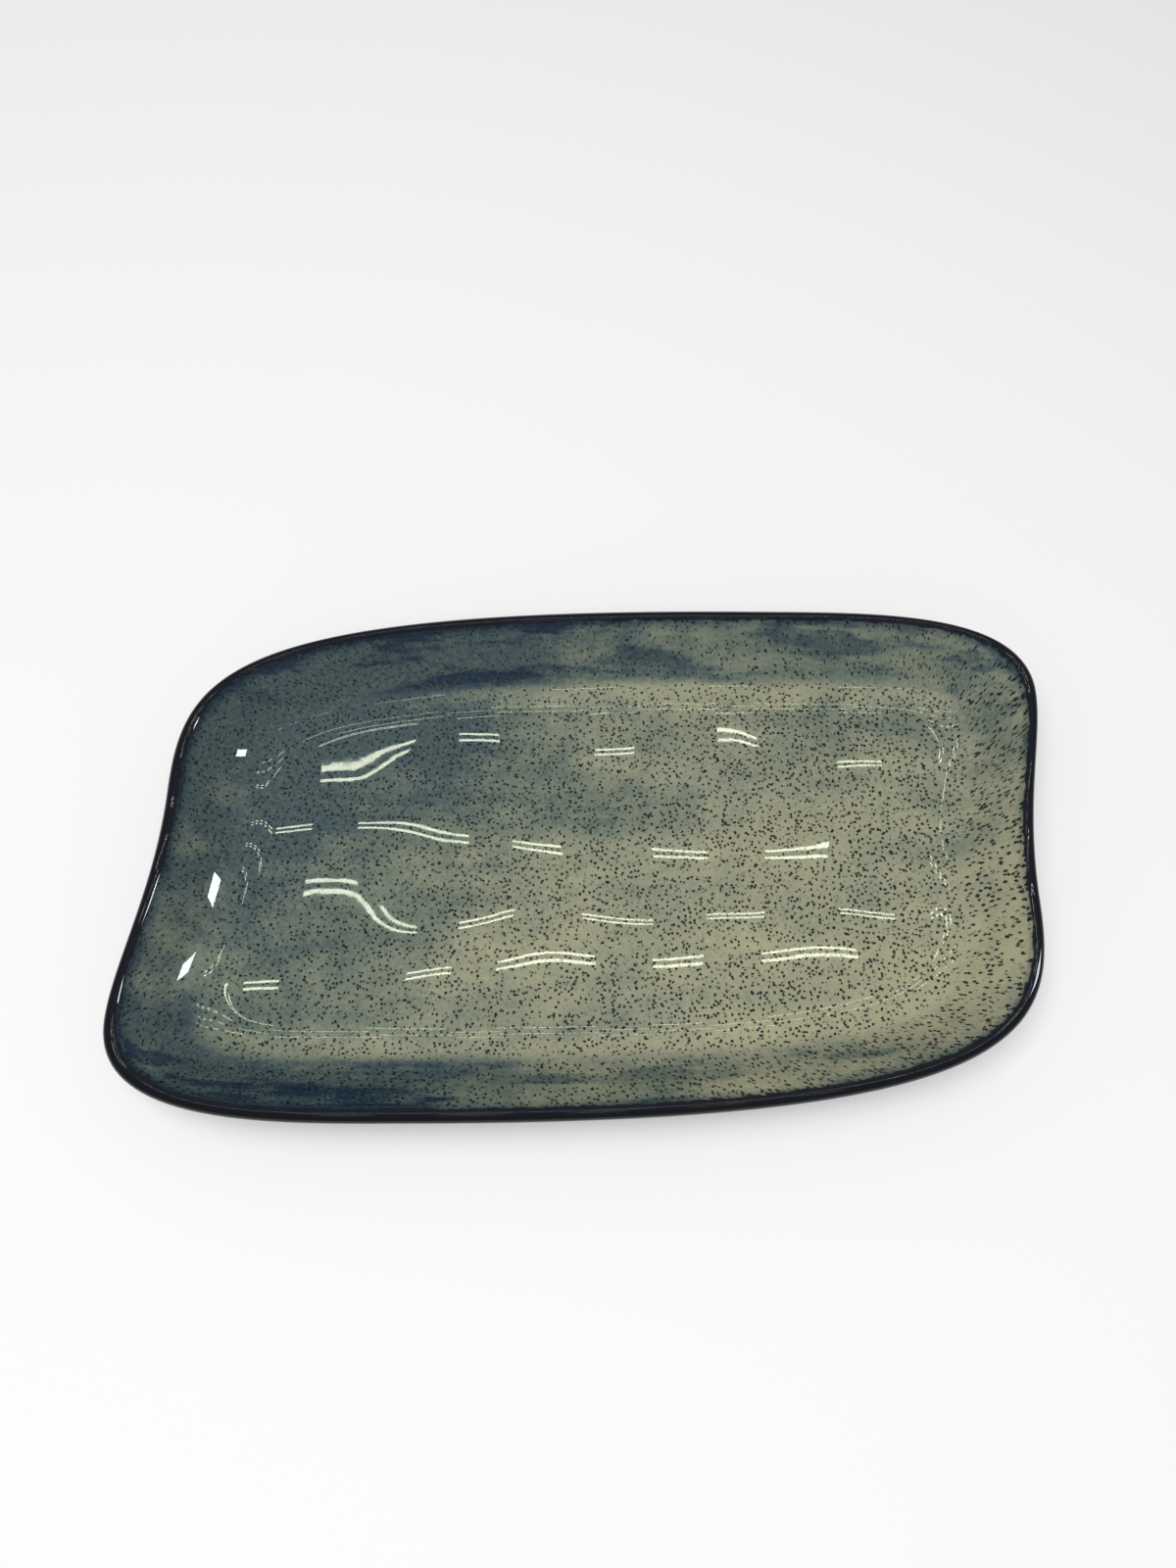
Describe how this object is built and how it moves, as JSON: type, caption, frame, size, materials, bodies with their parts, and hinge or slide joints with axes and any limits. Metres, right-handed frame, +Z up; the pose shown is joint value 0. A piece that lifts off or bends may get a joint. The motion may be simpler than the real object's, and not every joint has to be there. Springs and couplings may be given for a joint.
{
  "type": "serving platter",
  "caption": "Oblong stoneware serving platter with S-curved ends, a coved well and a rolled dark lip over speckled glaze, standing on a bare foot ring.",
  "frame": {"origin": "on the table, under the middle of the platter's bounding box", "axes": "+X along the platter's length, towards the end whose bulge is on the +Y side; +Y across it; +Z up out of the well"},
  "size_m": [0.356, 0.205, 0.031],
  "materials": {
    "bare_clay": "fired, unglazed, matt",
    "face_glaze": "glossy, speckled",
    "rim_glaze": "glossy, dark",
    "wall_glaze": "glossy, speckled",
    "base_glaze": "glossy, speckled"
  },
  "bodies": {
    "root": {"stoneware_body": "bare_clay", "face_glaze": "face_glaze", "rim_glaze": "rim_glaze", "wall_glaze": "wall_glaze", "base_glaze": "base_glaze"}
  },
  "joints": []
}
